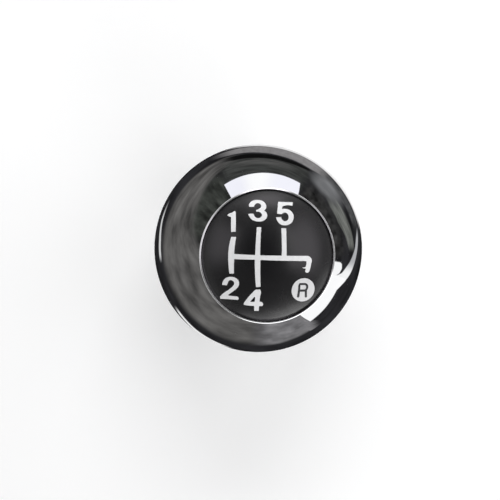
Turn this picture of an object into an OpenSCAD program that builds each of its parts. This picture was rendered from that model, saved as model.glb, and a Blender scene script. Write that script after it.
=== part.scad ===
// Ball gear knob: a bright plated ball with a black shift pattern disc let into its top,
// carried by a ribbed core with a slotted sleeve that grips the lever.
// The lever's mouth is at z = 0, the lever comes in from below along -Z, and the top of the pattern faces +Y.

/* [Ball] */
// Diameter of the plated ball
ball_d = 55; // [50:1:62]
// Wall of the ball
ball_wall = 2.6; // [1.8:0.2:3.2]
// Width of the ball's foot outside the core's flange
foot_land = 2; // [1.6:0.1:3]
// Thickness of the ball's foot ring
foot_ring_t = 2.2; // [1.6:0.2:3]
// Thickness of the ledge that the disc stands on
ledge_t = 1.9; // [1.5:0.1:2.4]

/* [Pattern disc] */
// Diameter of the black disc
disc_d = 32.9; // [31:0.1:34.5]
// Radius of the dome on the disc
disc_dome_r = 30; // [27:0.5:60]
// Height of the disc's straight edge
disc_edge_h = 2.4; // [1.6:0.2:3]
// Wall under the dome
disc_wall = 1.8; // [1.2:0.1:2.2]
// Width of the skirt that stands on the ledge
skirt_w = 1.8; // [1.2:0.1:2]
// Gap between the disc and the ball's lip, all round
disc_gap = 0.15; // [0.1:0.05:0.3]
// How far the disc's edge lies below the lip
disc_sink = 0.15; // [0:0.05:0.4]
// Radius of the round bead along the lip
lip_bead_r = 0.3; // [0.2:0.05:0.35]
// Width of the key that sets the pattern upright
key_w = 2.4; // [1.6:0.2:3]
// Height of the key below the skirt
key_h = 1.2; // [0.8:0.1:1.6]

/* [Disc clips] */
// Width of each clip leg
leg_w = 3.2; // [2.4:0.2:3.6]
// Thickness of each clip leg
leg_t = 1.2; // [0.9:0.1:1.4]
// Rim of the core's top plate outside the leg windows
plate_rim = 1.5; // [1.2:0.1:2]
// Gap round each leg in its window
window_gap = 0.2; // [0.1:0.05:0.3]
// Reach of the hook under the core's top plate
hook_reach = 0.8; // [0.5:0.1:1]
// Height of the hook
hook_h = 1.6; // [1.2:0.1:2]
// Straight part of the hook before its slope
hook_flat = 0.4; // [0.3:0.1:0.6]
// Play between the hook and the plate
hook_play = 0.1; // [0.05:0.05:0.3]

/* [Shift pattern] */
// Distance between the pattern's columns
column_pitch = 6.5; // [6:0.1:6.8]
// Width of the lines
line_w = 1.2; // [0.9:0.05:1.4]
// Reach of the middle lines above and below the bar
line_reach = 7.3; // [6:0.1:8]
// Reach of the first gear's line above the bar
first_reach = 4.8; // [4:0.1:5.5]
// Reach of the second gear's line below the bar
second_reach = 4.1; // [3.5:0.1:4.6]
// Radius to which the first column bows outward
bow_r = 21; // [18:1:40]
// Distance from the axis to the middle of the pattern
pattern_x = 0.3; // [-0.5:0.1:0.5]
// Drop of the reverse leg below the bar
reverse_drop = 3.7; // [3:0.1:4]
// Lean of the reverse leg, in degrees
reverse_lean = 16; // [0:1:20]
// Drop of the reverse spot's middle below the bar
spot_drop = 8.15; // [7.8:0.05:8.6]
// Radius of the white spot behind the reverse letter
spot_r = 2.95; // [2.4:0.05:3]
// Depth of the pattern's channels
inlay_depth = 0.5; // [0.3:0.05:0.8]
// How far the white filling stands proud
inlay_proud = 0.05; // [0.02:0.01:0.1]

/* [Core] */
// Wall of the hub
hub_wall = 1.8; // [1.4:0.1:2.2]
// Reach of the ribs from the hub to the core's outside
rib_reach = 3.7; // [3.2:0.1:4.2]
// Clearance between the core and the ball, all round
core_clear = 0.1; // [0.05:0.05:0.3]
// Thickness of the core's top plate
top_plate_t = 2; // [1.6:0.1:2.4]
// Gap between the top plate and the disc's skirt
plate_gap = 0.3; // [0.1:0.1:0.6]
// Thickness of the hub's ceiling over the pad
ceiling_t = 2; // [1.6:0.1:3]
// Radius of the hollow above the ceiling
top_hollow_r = 6; // [4:0.5:6.5]
// Number of ribs between the hub and the ball
ribs = 6; // [6, 12]
// Thickness of each rib
rib_t = 1.6; // [1.2:0.1:2]
// How far the ribs stay inside the core's outside
rib_inset = 0.3; // [0.2:0.1:0.6]
// How far the flange laps under the ball's foot
flange_lap = 1.9; // [1.4:0.1:2.4]
// Thickness of the flange
flange_t = 1.7; // [1.4:0.1:2]
// Wall of the spigot that centres the ball's foot
spigot_t = 1.5; // [1.2:0.1:1.8]
// Height of the spigot above the flange
spigot_h = 2.8; // [1.5:0.1:4]

/* [Collar] */
// Height of the collar
collar_h = 6; // [5.6:0.1:8]
// How far the collar's top stays inside the ball's foot
collar_inset = 0.3; // [0.1:0.1:0.5]
// How far the collar's lower edge stays inside its top
collar_taper = 1.5; // [1:0.1:2]
// Chamfer along the collar's lower edge
collar_chamfer = 0.5; // [0.3:0.1:0.8]
// Clearance between the collar and the sleeve's flange
mouth_clear = 0.4; // [0.2:0.1:0.6]
// Width of the groove that a gaiter's edge is tied into
tie_groove_w = 2; // [1.6:0.1:2.4]
// Depth of the tie groove
tie_groove_depth = 1.2; // [0.8:0.1:1.4]

/* [Lever grip] */
// Diameter of the lever
lever_d = 12; // [11:0.5:12.5]
// Wall of the slotted sleeve
sleeve_wall = 1.4; // [1.1:0.1:1.45]
// Depth of the lever's hole
lever_depth = 33; // [28:0.5:34]
// Clearance between the sleeve and the hub
sleeve_clear = 0.2; // [0.1:0.05:0.3]
// Play between the sleeve's top and the pad
sleeve_play = 0.2; // [0.1:0.1:0.4]
// How far the sleeve's flange reaches past the hub
flange_reach = 0.8; // [0.5:0.1:1]
// Thickness of the sleeve's flange
sleeve_flange_t = 1.4; // [1:0.1:1.8]
// How far the sleeve's flange lies inside the collar
mouth_recess = 0.3; // [0.1:0.1:0.6]
// Chamfer at the mouth of the sleeve
mouth_chamfer = 0.8; // [0.4:0.1:1]
// Number of slots in the sleeve
slots = 4; // [3:1:6]
// Width of each slot
slot_w = 1.2; // [0.8:0.1:1.6]
// Length of the slots
slot_len = 20; // [14:1:22]
// Width of the two keys on the sleeve
sleeve_key_w = 1.6; // [1.2:0.1:2]
// Height of the two keys on the sleeve
sleeve_key_h = 0.7; // [0.5:0.05:0.8]
// Clearance round the keys
key_clear = 0.1; // [0.05:0.05:0.2]
// Thickness of the spring rings
ring_t = 0.5; // [0.4:0.05:0.6]
// Width of the spring rings
ring_w = 1.2; // [1:0.1:1.6]
// How far the spring rings stand proud of the sleeve
ring_proud = 0.1; // [0.05:0.01:0.15]
// Distance from the sleeve's top to the upper spring ring
ring_setback = 5; // [3:0.5:7]
// Distance between the spring rings
ring_pitch = 10; // [6:0.5:12]
// Opening of the spring rings, in degrees
ring_open = 50; // [30:5:70]
// Thickness of the rubber pad over the lever's end
pad_t = 1.4; // [1:0.1:2]
// Clearance round the pad
pad_clear = 0.3; // [0.1:0.1:0.5]

/* [Hidden] */
$fn = 96;
ball_r = ball_d / 2;
lever_r = lever_d / 2;
sleeve_r = lever_r + sleeve_wall;
hub_bore_r = sleeve_r + sleeve_clear;
hub_r = hub_bore_r + hub_wall;
core_r = hub_r + rib_reach;
open_r = core_r + core_clear;
flange_r = core_r + flange_lap;
foot_r = flange_r + foot_land;
ball_z = collar_h + sqrt(ball_r * ball_r - foot_r * foot_r);
disc_r = disc_d / 2;
seat_r = disc_r + disc_gap;
lip_r = seat_r + 2 * lip_bead_r;
lip_z = ball_z + sqrt(ball_r * ball_r - lip_r * lip_r);
edge_z = lip_z - disc_sink;
dome_z = edge_z - sqrt(disc_dome_r * disc_dome_r - disc_r * disc_r);
dome_top_z = dome_z + disc_dome_r;
ledge_z = edge_z - disc_edge_h;
top_plate_z = ledge_z - plate_gap;
plate_low_z = top_plate_z - top_plate_t;
flange_z = collar_h - flange_t;
hub_foot_z = mouth_recess + sleeve_flange_t;
ceiling_z = lever_depth + pad_t;
sleeve_top_z = lever_depth - sleeve_play;
slot_z = lever_depth - slot_len;
ring_in_r = sleeve_r + ring_proud - ring_t;
ring_z = [lever_depth - ring_setback, lever_depth - ring_setback - ring_pitch];
leg_out_r = core_r - plate_rim - window_gap;
leg_angles = [90, 210, 330];
column_x = [for (i = [-1.5, -0.5, 0.5, 1.5]) pattern_x + i * column_pitch];
spot_x = column_x[3] - tan(reverse_lean) * (reverse_drop + line_w / 2);
// overshoot of the cutting shapes
over = ball_wall;

// Section of a ring between two radii and two heights
module band(r1, r2, z1, z2) {
    translate([r1, z1]) square([r2 - r1, z2 - z1]);
}

// Hollow ball, open at the top for the disc and at the foot for the core
module ball_shell() {
    color([0.8, 0.81, 0.82]) difference() {
        rotate_extrude() difference() {
            union() {
                difference() {
                    intersection() {
                        translate([0, ball_z]) circle(ball_r);
                        band(0, ball_r + over, collar_h, lip_z);
                    }
                    difference() {
                        translate([0, ball_z]) circle(ball_r - ball_wall);
                        band(0, ball_r, ledge_z - ledge_t, ledge_z);
                        band(0, ball_r, collar_h, collar_h + foot_ring_t);
                    }
                }
                translate([seat_r + lip_bead_r, lip_z]) circle(lip_bead_r, $fn = 32);
            }
            band(-over, seat_r, ledge_z, lip_z + over);
            band(-ball_r - over, open_r, 0, lip_z + over);
        }
        disc_key(key_clear);
    }
}

// Key under the skirt of the disc, grown by a clearance for its notch in the ledge
module disc_key(grow) {
    key_in_r = disc_r - skirt_w;
    key_out_r = key_in_r + skirt_w * 3 / 4;
    translate([-key_w / 2 - grow, -key_out_r - grow, ledge_z - key_h - grow])
        cube([key_w + 2 * grow, key_out_r - key_in_r + 2 * grow, key_h + 2 * grow]);
}

// Solid between two domes over the disc, from one height above the surface down to a depth
module dome_layer(depth, proud) {
    difference() {
        translate([0, 0, dome_z]) sphere(disc_dome_r + proud);
        translate([0, 0, dome_z]) sphere(disc_dome_r - depth);
    }
}

// Straight line of the pattern between two points
module pattern_line(from, to) {
    run = to - from;
    translate(from) rotate(atan2(run[1], run[0]))
        translate([0, -line_w / 2]) square([norm(run), line_w]);
}

// Outline of the white gate lines
module gate_outline() {
    half = line_w / 2;
    // first column, bowed outward
    intersection() {
        translate([column_x[0] + bow_r, 0]) difference() {
            circle(bow_r + half, $fn = 180);
            circle(bow_r - half, $fn = 180);
        }
        translate([column_x[0] - line_w, -second_reach])
            square([3 * line_w, first_reach + second_reach]);
    }
    pattern_line([column_x[0], 0], [column_x[3], 0]);
    pattern_line([column_x[1], -line_reach], [column_x[1], line_reach]);
    pattern_line([column_x[2], 0], [column_x[2], line_reach]);
    // reverse leg, with a round corner where it turns down from the bar
    translate([column_x[3], 0]) circle(half);
    translate([column_x[3], 0]) rotate(-reverse_lean)
        translate([-half, -reverse_drop]) square([line_w, reverse_drop]);
}

// Solid that fills an outline's channel in the dome, up to a height above the surface
module inlay(proud) {
    intersection() {
        dome_layer(inlay_depth, proud);
        translate([0, 0, ledge_z]) linear_extrude(disc_dome_r) children();
    }
}

// White filling of the gate lines
module gate_lines() {
    color([0.92, 0.92, 0.93]) inlay(inlay_proud) gate_outline();
}

// White spot that carries the reverse letter
module reverse_spot() {
    color([0.92, 0.92, 0.93]) inlay(inlay_proud) translate([spot_x, -spot_drop]) circle(spot_r);
}

// One clip leg of the disc, with a hook that catches under the core's top plate
module clip_leg() {
    hook_z = plate_low_z - hook_play;
    translate([leg_out_r - leg_t, 0, 0]) rotate([90, 0, 0])
        translate([0, 0, -leg_w / 2]) linear_extrude(leg_w) polygon([
            [0, dome_top_z], [0, hook_z - hook_h], [leg_t, hook_z - hook_h],
            [leg_t + hook_reach, hook_z - hook_flat], [leg_t + hook_reach, hook_z],
            [leg_t, hook_z], [leg_t, dome_top_z]]);
}

// Black domed disc with its skirt, clips and key, and the channels for the white filling
module pattern_disc() {
    color([0.06, 0.06, 0.07]) difference() {
        union() {
            rotate_extrude() difference() {
                intersection() {
                    translate([0, dome_z]) circle(disc_dome_r, $fn = 180);
                    band(0, disc_r, ledge_z, dome_top_z);
                }
                intersection() {
                    translate([0, dome_z]) circle(disc_dome_r - disc_wall, $fn = 180);
                    band(-over, disc_r - skirt_w, ledge_z - over, dome_top_z);
                }
            }
            intersection() {
                for (a = leg_angles) rotate(a) clip_leg();
                translate([0, 0, dome_z]) sphere(disc_dome_r - disc_wall / 2);
            }
            disc_key(0);
        }
        inlay(over) gate_outline();
        inlay(over) translate([spot_x, -spot_drop]) circle(spot_r);
    }
}

// Hub, ribs, top plate and flange that carry the ball, the disc and the sleeve
module core_moulding() {
    rib_in_r = hub_bore_r + hub_wall / 2;
    rib_low_z = flange_z + flange_t / 2;
    rib_high_z = plate_low_z + top_plate_t / 2;
    color([0.12, 0.12, 0.13]) difference() {
        union() {
            rotate_extrude() difference() {
                union() {
                    band(0, hub_r, hub_foot_z, top_plate_z);
                    band(0, core_r, plate_low_z, top_plate_z);
                    band(0, flange_r, flange_z, collar_h);
                    band(core_r - spigot_t, core_r, collar_h, collar_h + spigot_h);
                }
                band(0, hub_bore_r, 0, ceiling_z);
                band(0, top_hollow_r, ceiling_z + ceiling_t, top_plate_z + over);
            }
            for (i = [0:ribs - 1]) rotate(i * 360 / ribs)
                translate([rib_in_r, -rib_t / 2, rib_low_z])
                    cube([core_r - rib_inset - rib_in_r, rib_t, rib_high_z - rib_low_z]);
        }
        sleeve_keys(key_clear);
        for (a = leg_angles) rotate(a) leg_window();
    }
}

// Window in the core's top plate that a clip leg passes through
module leg_window() {
    in_r = leg_out_r - leg_t - hook_reach - window_gap;
    translate([in_r, -leg_w / 2 - window_gap, plate_low_z - hook_play])
        cube([leg_out_r + window_gap - in_r, leg_w + 2 * window_gap, top_plate_t + over]);
}

// Two keys along the sleeve, grown by a clearance for their ways in the hub
module sleeve_keys(grow) {
    key_in_r = lever_r + sleeve_wall / 2;
    for (side = [0, 180]) rotate(side)
        translate([key_in_r, -sleeve_key_w / 2 - grow, hub_foot_z])
            cube([sleeve_r + sleeve_key_h + grow - key_in_r, sleeve_key_w + 2 * grow, slot_z - hub_foot_z + grow]);
}

// Black ring under the ball, with the groove that holds a gaiter's edge
module base_collar() {
    top_r = foot_r - collar_inset;
    low_r = top_r - collar_taper;
    bore_r = hub_r + flange_reach + mouth_clear;
    groove_z = (flange_z - tie_groove_w) / 2;
    color([0.1, 0.1, 0.11]) rotate_extrude() difference() {
        polygon([[bore_r, 0], [low_r - collar_chamfer, 0], [low_r, collar_chamfer],
            [low_r, groove_z + tie_groove_w], [top_r, flange_z + collar_chamfer],
            [top_r, collar_h], [bore_r, collar_h]]);
        band(low_r - tie_groove_depth, ball_r, groove_z, groove_z + tie_groove_w);
        band(0, flange_r + core_clear, flange_z, collar_h + over);
    }
}

// Slotted sleeve that grips the lever, with grooves for its spring rings
module grip_sleeve() {
    color([0.85, 0.84, 0.8]) difference() {
        union() {
            rotate_extrude() difference() {
                union() {
                    band(lever_r, sleeve_r, mouth_recess, sleeve_top_z);
                    band(lever_r, hub_r + flange_reach, mouth_recess, hub_foot_z);
                }
                for (z = ring_z) band(ring_in_r, sleeve_r + over, z, z + ring_w);
                translate([lever_r, mouth_recess]) rotate(45)
                    square(mouth_chamfer * sqrt(2), center = true);
            }
            sleeve_keys(0);
        }
        for (i = [0:slots - 1]) rotate((i + 0.5) * 360 / slots)
            translate([0, -slot_w / 2, slot_z]) cube([sleeve_r + over, slot_w, slot_len + over]);
    }
}

// Two open steel rings that close the sleeve on the lever
module spring_rings() {
    color([0.62, 0.63, 0.65]) for (z = ring_z) translate([0, 0, z]) rotate(ring_open / 2)
        rotate_extrude(angle = 360 - ring_open) band(ring_in_r, ring_in_r + ring_t, 0, ring_w);
}

// Rubber pad between the lever's end and the hub's ceiling
module stop_pad() {
    color([0.15, 0.15, 0.15]) translate([0, 0, lever_depth])
        cylinder(h = pad_t, r = hub_bore_r - pad_clear);
}

ball_shell();
pattern_disc();
gate_lines();
reverse_spot();
core_moulding();
base_collar();
grip_sleeve();
spring_rings();
stop_pad();
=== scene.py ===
"""Looks of the ball gear knob: plated ball, satin black disc, white pattern, inner fittings and studio."""

import math

import bmesh
import bpy
from bpy.props import FloatProperty, FloatVectorProperty, IntProperty, PointerProperty
from mathutils import Matrix, Vector
from mathutils.geometry import tessellate_polygon


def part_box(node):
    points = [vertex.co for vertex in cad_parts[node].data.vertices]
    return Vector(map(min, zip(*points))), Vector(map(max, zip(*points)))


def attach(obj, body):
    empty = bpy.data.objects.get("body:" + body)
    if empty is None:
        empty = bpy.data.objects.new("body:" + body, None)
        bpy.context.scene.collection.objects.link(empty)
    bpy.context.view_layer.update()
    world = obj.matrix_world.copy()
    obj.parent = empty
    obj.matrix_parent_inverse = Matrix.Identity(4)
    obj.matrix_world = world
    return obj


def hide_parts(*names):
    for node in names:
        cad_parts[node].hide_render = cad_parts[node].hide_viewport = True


bl_info = {
    "name": "Ball Gear Knob Looks",
    "version": (1, 0, 0),
    "blender": (4, 5, 0),
    "location": "View3D > Sidebar > Gear Knob",
    "description": "Dresses the packed gear knob with its finishes and lights it in a small studio",
    "category": "Object",
}

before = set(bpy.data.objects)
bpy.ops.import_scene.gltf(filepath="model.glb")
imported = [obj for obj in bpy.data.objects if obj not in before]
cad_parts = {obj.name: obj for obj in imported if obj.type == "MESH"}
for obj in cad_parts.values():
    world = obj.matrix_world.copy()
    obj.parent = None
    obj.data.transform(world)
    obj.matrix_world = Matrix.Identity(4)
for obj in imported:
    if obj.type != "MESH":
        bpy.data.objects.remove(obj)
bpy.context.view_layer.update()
BODY = "root"
MM = 0.001

BALL_LOW, BALL_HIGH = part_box("ball_shell")
DISC_LOW, DISC_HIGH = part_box("pattern_disc")
COLLAR_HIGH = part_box("base_collar")[1]

# Bearings in degrees of the disc's clip legs and its key
CLIP_BEARINGS = (90, 210, 330)
KEY_BEARING = 270

# Steps along the curves of the turned pieces and round the corners of the print
BALL_STEPS = 80
BALL_INNER_STEPS = 40
LIP_STEPS = 6
DOME_STEPS = 34
DOME_INNER_STEPS = 20
RIM_STEPS = 5
CORNER_STEPS = 3

# Edges: the most of an edge that a rounding takes, and the angles in degrees above which edges look sharp
NEARLY_ZERO = 1e-7
EDGE_SHARE = 0.45
TURNED_SHARP = 32.0
PRINT_SHARP = 40.0

# Panels: each layer stands a share of the wall's radius further in and ends a little higher than the last
LAYER_STEP = 0.02
LAYER_RISE = 0.5 * MM
LOWEST_PANEL = 1.0 * MM
RING_OVERLAP = 1.0 * MM
PANEL_ROWS = 40
PANEL_TURN = 2.5
LIP_LIGHT_TURN = 5
NEARLY_UPRIGHT = 1e-9
FAR_AWAY = 1e9

# Tints of the panels
WHITE = (1.0, 1.0, 1.0)
COOL = (0.96, 0.97, 1.0)
WINDOW_BLUE = (0.93, 0.93, 1.0)
DUSK = (0.97, 0.96, 1.06)
OLIVE = (0.97, 1.0, 0.93)
MOSS = (0.93, 1.0, 0.90)
LEAF = (0.96, 1.0, 0.96)
CREAM = (1.0, 1.0, 0.97)
SAND = (1.0, 0.97, 0.94)
SHELL = (1.0, 0.98, 0.97)
BLUSH = (1.0, 0.97, 0.98)
MAUVE = (1.0, 0.98, 1.01)
ROSE = (1.0, 0.955, 1.01)

# Floor and lamps: sizes in metres, and how many times more the far floor is lifted than the near one
LAMP_DISTANCE = 0.42
FLOOR_RADIUS = 1.9
FLOOR_SIDES = 96
FLOOR_DROP = 0.02 * MM
FLOOR_NEAR = 0.12
FLOOR_FAR = 0.5
FLOOR_FAR_LIFT = 2.4

# Surroundings: (height, brightness) from the horizon to straight above, and how much more blue than red
WORLD_TONES = ((0.0, 0.95), (0.2, 0.8), (0.35, 0.56), (0.6, 0.48), (0.8, 0.27), (0.95, 0.11), (1.0, 0.07))
WORLD_BLUE = 1.01


# Settings

def length(name, description, default):
    """Setting for a size in metres."""
    return FloatProperty(name=name, description=description, default=default, min=0.0,
                         precision=5, subtype="DISTANCE", unit="LENGTH")


def colour(name, description, default):
    """Setting for a linear colour."""
    return FloatVectorProperty(name=name, description=description, default=default, size=3,
                               min=0.0, max=1.0, subtype="COLOR")


def angle(name, description, degrees):
    """Setting for an angle, with its default in degrees."""
    return FloatProperty(name=name, description=description, default=math.radians(degrees),
                         subtype="ANGLE", unit="ROTATION")


def portion(name, description, default):
    """Setting for a share between nothing and the whole."""
    return FloatProperty(name=name, description=description, default=default, min=0.0, max=1.0,
                         subtype="FACTOR")


def power(name, description, default):
    """Setting for a lamp's power in watts."""
    return FloatProperty(name=name, description=description, default=default, min=0.0, unit="POWER")


def steps_round(name, description, default):
    """Setting for the number of steps round a turned piece."""
    return IntProperty(name=name, description=description, default=default, min=48, max=360)


class KnobShape(bpy.types.PropertyGroup):
    """Sizes of the ball, the disc and the collar."""

    ball_radius: length("Ball radius", "Outer radius of the plated ball", float(BALL_HIGH[0]))
    ball_wall: length("Ball wall", "Wall of the ball", 2.6 * MM)
    foot_radius: length("Foot radius", "Radius of the ball's flat foot", 17.0 * MM)
    foot_ring: length("Foot ring", "Thickness of the ring round the ball's foot", 2.2 * MM)
    ledge: length("Ledge", "Thickness of the ledge that the disc stands on", 1.9 * MM)
    opening_radius: length("Opening radius", "Radius of the ball's two openings", 13.2 * MM)
    seat_radius: length("Seat radius", "Radius of the disc's seat in the ball", 16.47 * MM)
    lip_radius: length("Lip radius", "Radius at which the packed lip meets the ball's curve", 17.2 * MM)
    lip_land: length("Lip land", "Width of the polished land along the lip", 0.42 * MM)
    lip_slope: angle("Lip slope", "Outward slope of the lip's land", 30.0)
    lip_soft: length("Lip soft", "Rounding of the lip's inner edge", 0.05 * MM)
    lip_ease: length("Lip ease", "Distance along the ball over which the lip begins", 0.03 * MM)
    edge_break: length("Edge break", "Small break of the moulded and plated edges", 0.2 * MM)
    disc_radius: length("Disc radius", "Radius of the black disc", float(DISC_HIGH[0]) - 0.09 * MM)
    dome_radius: length("Dome radius", "Radius of the disc's dome", 30.0 * MM)
    disc_edge: length("Disc edge", "Height of the disc's straight edge", 2.4 * MM)
    disc_sink: length("Disc sink", "How far the disc's edge lies below the lip", 0.15 * MM)
    disc_wall: length("Disc wall", "Wall under the dome", 1.8 * MM)
    skirt: length("Skirt", "Width of the disc's skirt", 1.8 * MM)
    rim_round: length("Rim round", "Rounding of the disc's rim", 0.14 * MM)
    rim_shift: length("Rim shift", "How far the rim lies to the lower right in its seat", 0.07 * MM)
    clip_width: length("Clip width", "Width of each clip leg", 3.2 * MM)
    clip_radius: length("Clip radius", "Outer radius of the clip legs", 11.4 * MM)
    clip_wall: length("Clip wall", "Thickness of each clip leg", 1.2 * MM)
    hook_reach: length("Hook reach", "How far each clip's hook stands out", 0.8 * MM)
    hook_start: length("Hook start", "Height over which each hook widens", 1.2 * MM)
    hook_end: length("Hook end", "Height of each hook's upper face above the leg's end", 1.6 * MM)
    key_drop: length("Key drop", "Height of the key under the disc", 1.2 * MM)
    key_width: length("Key width", "Width of the key", 2.4 * MM)
    key_share: portion("Key share", "Share of the skirt's width that the key takes", 0.75)
    collar_taper: length("Collar taper", "How much narrower the collar's foot is than its top", 1.5 * MM)
    collar_slant: length("Collar slant", "Size of the slants at the collar's foot and top", 0.5 * MM)
    collar_bore: length("Collar bore", "Radius of the collar's bore", 10.6 * MM)
    pocket_radius: length("Pocket radius", "Radius of the pocket for the ball's foot", 15.1 * MM)
    pocket_depth: length("Pocket depth", "Depth of the pocket for the ball's foot", 1.7 * MM)
    groove_low: length("Groove height", "Height of the tie groove's lower edge", 1.15 * MM)
    groove_width: length("Groove width", "Width of the tie groove", 2.0 * MM)
    groove_depth: length("Groove depth", "Depth of the tie groove", 1.2 * MM)
    ball_turns: steps_round("Ball steps", "Steps round the ball", 300)
    disc_turns: steps_round("Disc steps", "Steps round the disc", 180)
    collar_turns: steps_round("Collar steps", "Steps round the collar", 160)


class KnobMarks(bpy.types.PropertyGroup):
    """Sizes of the white shift pattern and its numbers."""

    channel_depth: length("Channel depth", "Depth of the pattern's channels", 0.5 * MM)
    filling_proud: length("Filling height", "Height of the filling above the dome", 0.05 * MM)
    print_proud: length("Print height", "Height of the printed numbers above the dome", 0.035 * MM)
    print_root: length("Print root", "How far the print reaches into the dome", 0.1 * MM)
    letter_proud: length("Letter height", "Height of the reverse letter above the dome", 0.075 * MM)
    corner_round: length("Corner round", "Rounding of the print's corners", 0.16 * MM)
    letter_round: length("Letter round", "Rounding of the reverse letter's corners", 0.06 * MM)
    number_trim: length("Number trim", "How much the numbers' outlines are drawn in", 0.03 * MM)
    letter_growth: length("Letter growth", "How much the reverse letter's outline is widened", 0.05 * MM)
    grid: length("Facet size", "Size of the facets that follow the dome", 0.7 * MM)
    spot_radius: length("Spot radius", "Radius of the white spot", 2.99 * MM)


class KnobFinish(bpy.types.PropertyGroup):
    """Colours of the finishes."""

    chrome: colour("Chrome", "Bright plating", (0.82, 0.825, 0.83))
    chrome_shade: colour("Chrome shade", "Plating where it is hazed by handling", (0.77, 0.775, 0.785))
    disc: colour("Disc", "Satin black of the disc", (0.0036, 0.0034, 0.0040))
    disc_shade: colour("Disc shade", "Second tone of the disc", (0.0056, 0.0053, 0.0061))
    white: colour("Marking white", "White of the pattern", (0.81, 0.81, 0.815))
    white_shade: colour("Marking shade", "Second tone of the pattern", (0.75, 0.75, 0.76))
    letter: colour("Letter", "Dark print of the reverse letter", (0.005, 0.005, 0.007))
    core: colour("Core", "Black moulding inside the ball", (0.022, 0.022, 0.024))
    collar: colour("Collar", "Black ring under the ball", (0.018, 0.018, 0.02))
    sleeve: colour("Sleeve", "Natural nylon of the sleeve", (0.66, 0.64, 0.57))
    steel: colour("Steel", "Spring steel of the rings", (0.55, 0.55, 0.57))
    rubber: colour("Rubber", "Rubber pad", (0.022, 0.021, 0.02))


class KnobStudio(bpy.types.PropertyGroup):
    """Camera and light of the studio."""

    camera_distance: length("Camera distance", "Distance from the camera to the ball's middle", 300.0 * MM)
    camera_tilt: angle("Camera tilt", "Angle between the camera and the knob's axis", 7.86)
    camera_bearing: angle("Camera bearing", "Direction in which the camera leans", 142.33)
    camera_roll: angle("Camera roll", "Turn of the camera about its own axis", 1.2)
    lens: FloatProperty(name="Lens", description="Focal length on a 36 mm sensor", default=81.2,
                        min=10.0, max=300.0, subtype="DISTANCE_CAMERA", unit="CAMERA")
    shift_x: FloatProperty(name="Shift across", description="Sideways shift of the lens", default=-0.0164)
    shift_y: FloatProperty(name="Shift up", description="Upward shift of the lens", default=-0.0034)
    floor: colour("Floor", "Pale floor", (0.80, 0.80, 0.80))
    floor_lift: portion("Floor lift", "Brightness added to the floor where it is seen", 0.26)
    wall_radius: length("Wall radius", "Distance from the knob's axis to the reflector panels", 80.0 * MM)
    wall_top: length("Wall top", "Height of the wall of reflector panels", 72.0 * MM)
    ring_top: length("Ring top", "Height of the pale ring above that wall", 150.0 * MM)
    key_light: power("Key light", "Power of the key lamp", 0.88)
    fill_light: power("Fill light", "Power of the fill lamp", 0.95)
    right_light: power("Right light", "Power of the soft lamp on the right", 0.36)
    left_light: power("Left light", "Power of the soft lamp on the left", 0.16)


# Access to the settings

def shape():
    return bpy.context.scene.knob_shape


def marks():
    return bpy.context.scene.knob_marks


def finish_colours():
    return bpy.context.scene.knob_finish


def studio():
    return bpy.context.scene.knob_studio


def levels():
    """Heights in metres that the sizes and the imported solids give."""
    knob = shape()
    foot = float(BALL_LOW[2])
    middle = foot + math.sqrt(knob.ball_radius ** 2 - knob.foot_radius ** 2)
    lip = middle + math.sqrt(knob.ball_radius ** 2 - knob.lip_radius ** 2)
    return {
        "foot": foot,
        "middle": middle,
        "lip": lip,
        "ledge": lip - knob.disc_sink - knob.disc_edge,
        "dome": float(DISC_HIGH[2]) - knob.dome_radius,
    }


# Mesh tools

def arc(centre, radius, start, end, steps):
    """Points of an arc in the radius and height plane, with angles measured from straight up."""
    points = []
    for i in range(steps + 1):
        turn = start + (end - start) * i / steps
        points.append((centre[0] + radius * math.sin(turn), centre[1] + radius * math.cos(turn)))
    return points


def corner_curve(first, corner, last, steps):
    """Points of a short curve between two points that leans to the corner between them."""
    points = []
    for k in range(steps + 1):
        t = k / steps
        points.append(first * (1 - t) ** 2 + corner * 2 * t * (1 - t) + last * t ** 2)
    return points


def broken_edges(corners, steps=4):
    """Loop of points with each (radius, height, rounding) corner rounded by a short curve."""
    points = []
    count = len(corners)
    for i, (r, z, rounding) in enumerate(corners):
        here = Vector((r, z))
        before = Vector(corners[i - 1][:2]) - here
        after = Vector(corners[(i + 1) % count][:2]) - here
        reach = min(rounding, EDGE_SHARE * before.length, EDGE_SHARE * after.length)
        if reach < NEARLY_ZERO:
            points.append((r, z))
            continue
        first = here + before.normalized() * reach
        last = here + after.normalized() * reach
        points += [(point.x, point.y) for point in corner_curve(first, here, last, steps)]
    return points


def turned(bm, profile, turns):
    """Adds the closed surface that a loop of (radius, height) points makes round the knob's axis."""
    rings = []
    for r, z in profile:
        if r < NEARLY_ZERO:
            rings.append([bm.verts.new((0.0, 0.0, z))])
            continue
        ring = []
        for i in range(turns):
            turn = 2 * math.pi * i / turns
            ring.append(bm.verts.new((r * math.cos(turn), r * math.sin(turn), z)))
        rings.append(ring)
    for first, second in zip(rings, rings[1:] + rings[:1]):
        if len(first) == 1 and len(second) == 1:
            continue
        for i in range(turns):
            corners = [first[i % len(first)], first[(i + 1) % len(first)],
                       second[(i + 1) % len(second)], second[i % len(second)]]
            bm.faces.new(list(dict.fromkeys(corners)))


def upright_prism(bm, outline, width, turn):
    """Adds a prism of a (radius, height) outline, centred on a plane through the axis at an angle."""
    rotation = Matrix.Rotation(turn, 4, "Z")
    sides = []
    for y in (-width / 2, width / 2):
        sides.append([bm.verts.new(rotation @ Vector((r, y, z))) for r, z in outline])
    bm.faces.new(sides[0])
    bm.faces.new(list(reversed(sides[1])))
    count = len(outline)
    for i in range(count):
        j = (i + 1) % count
        bm.faces.new([sides[0][j], sides[0][i], sides[1][i], sides[1][j]])


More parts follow.
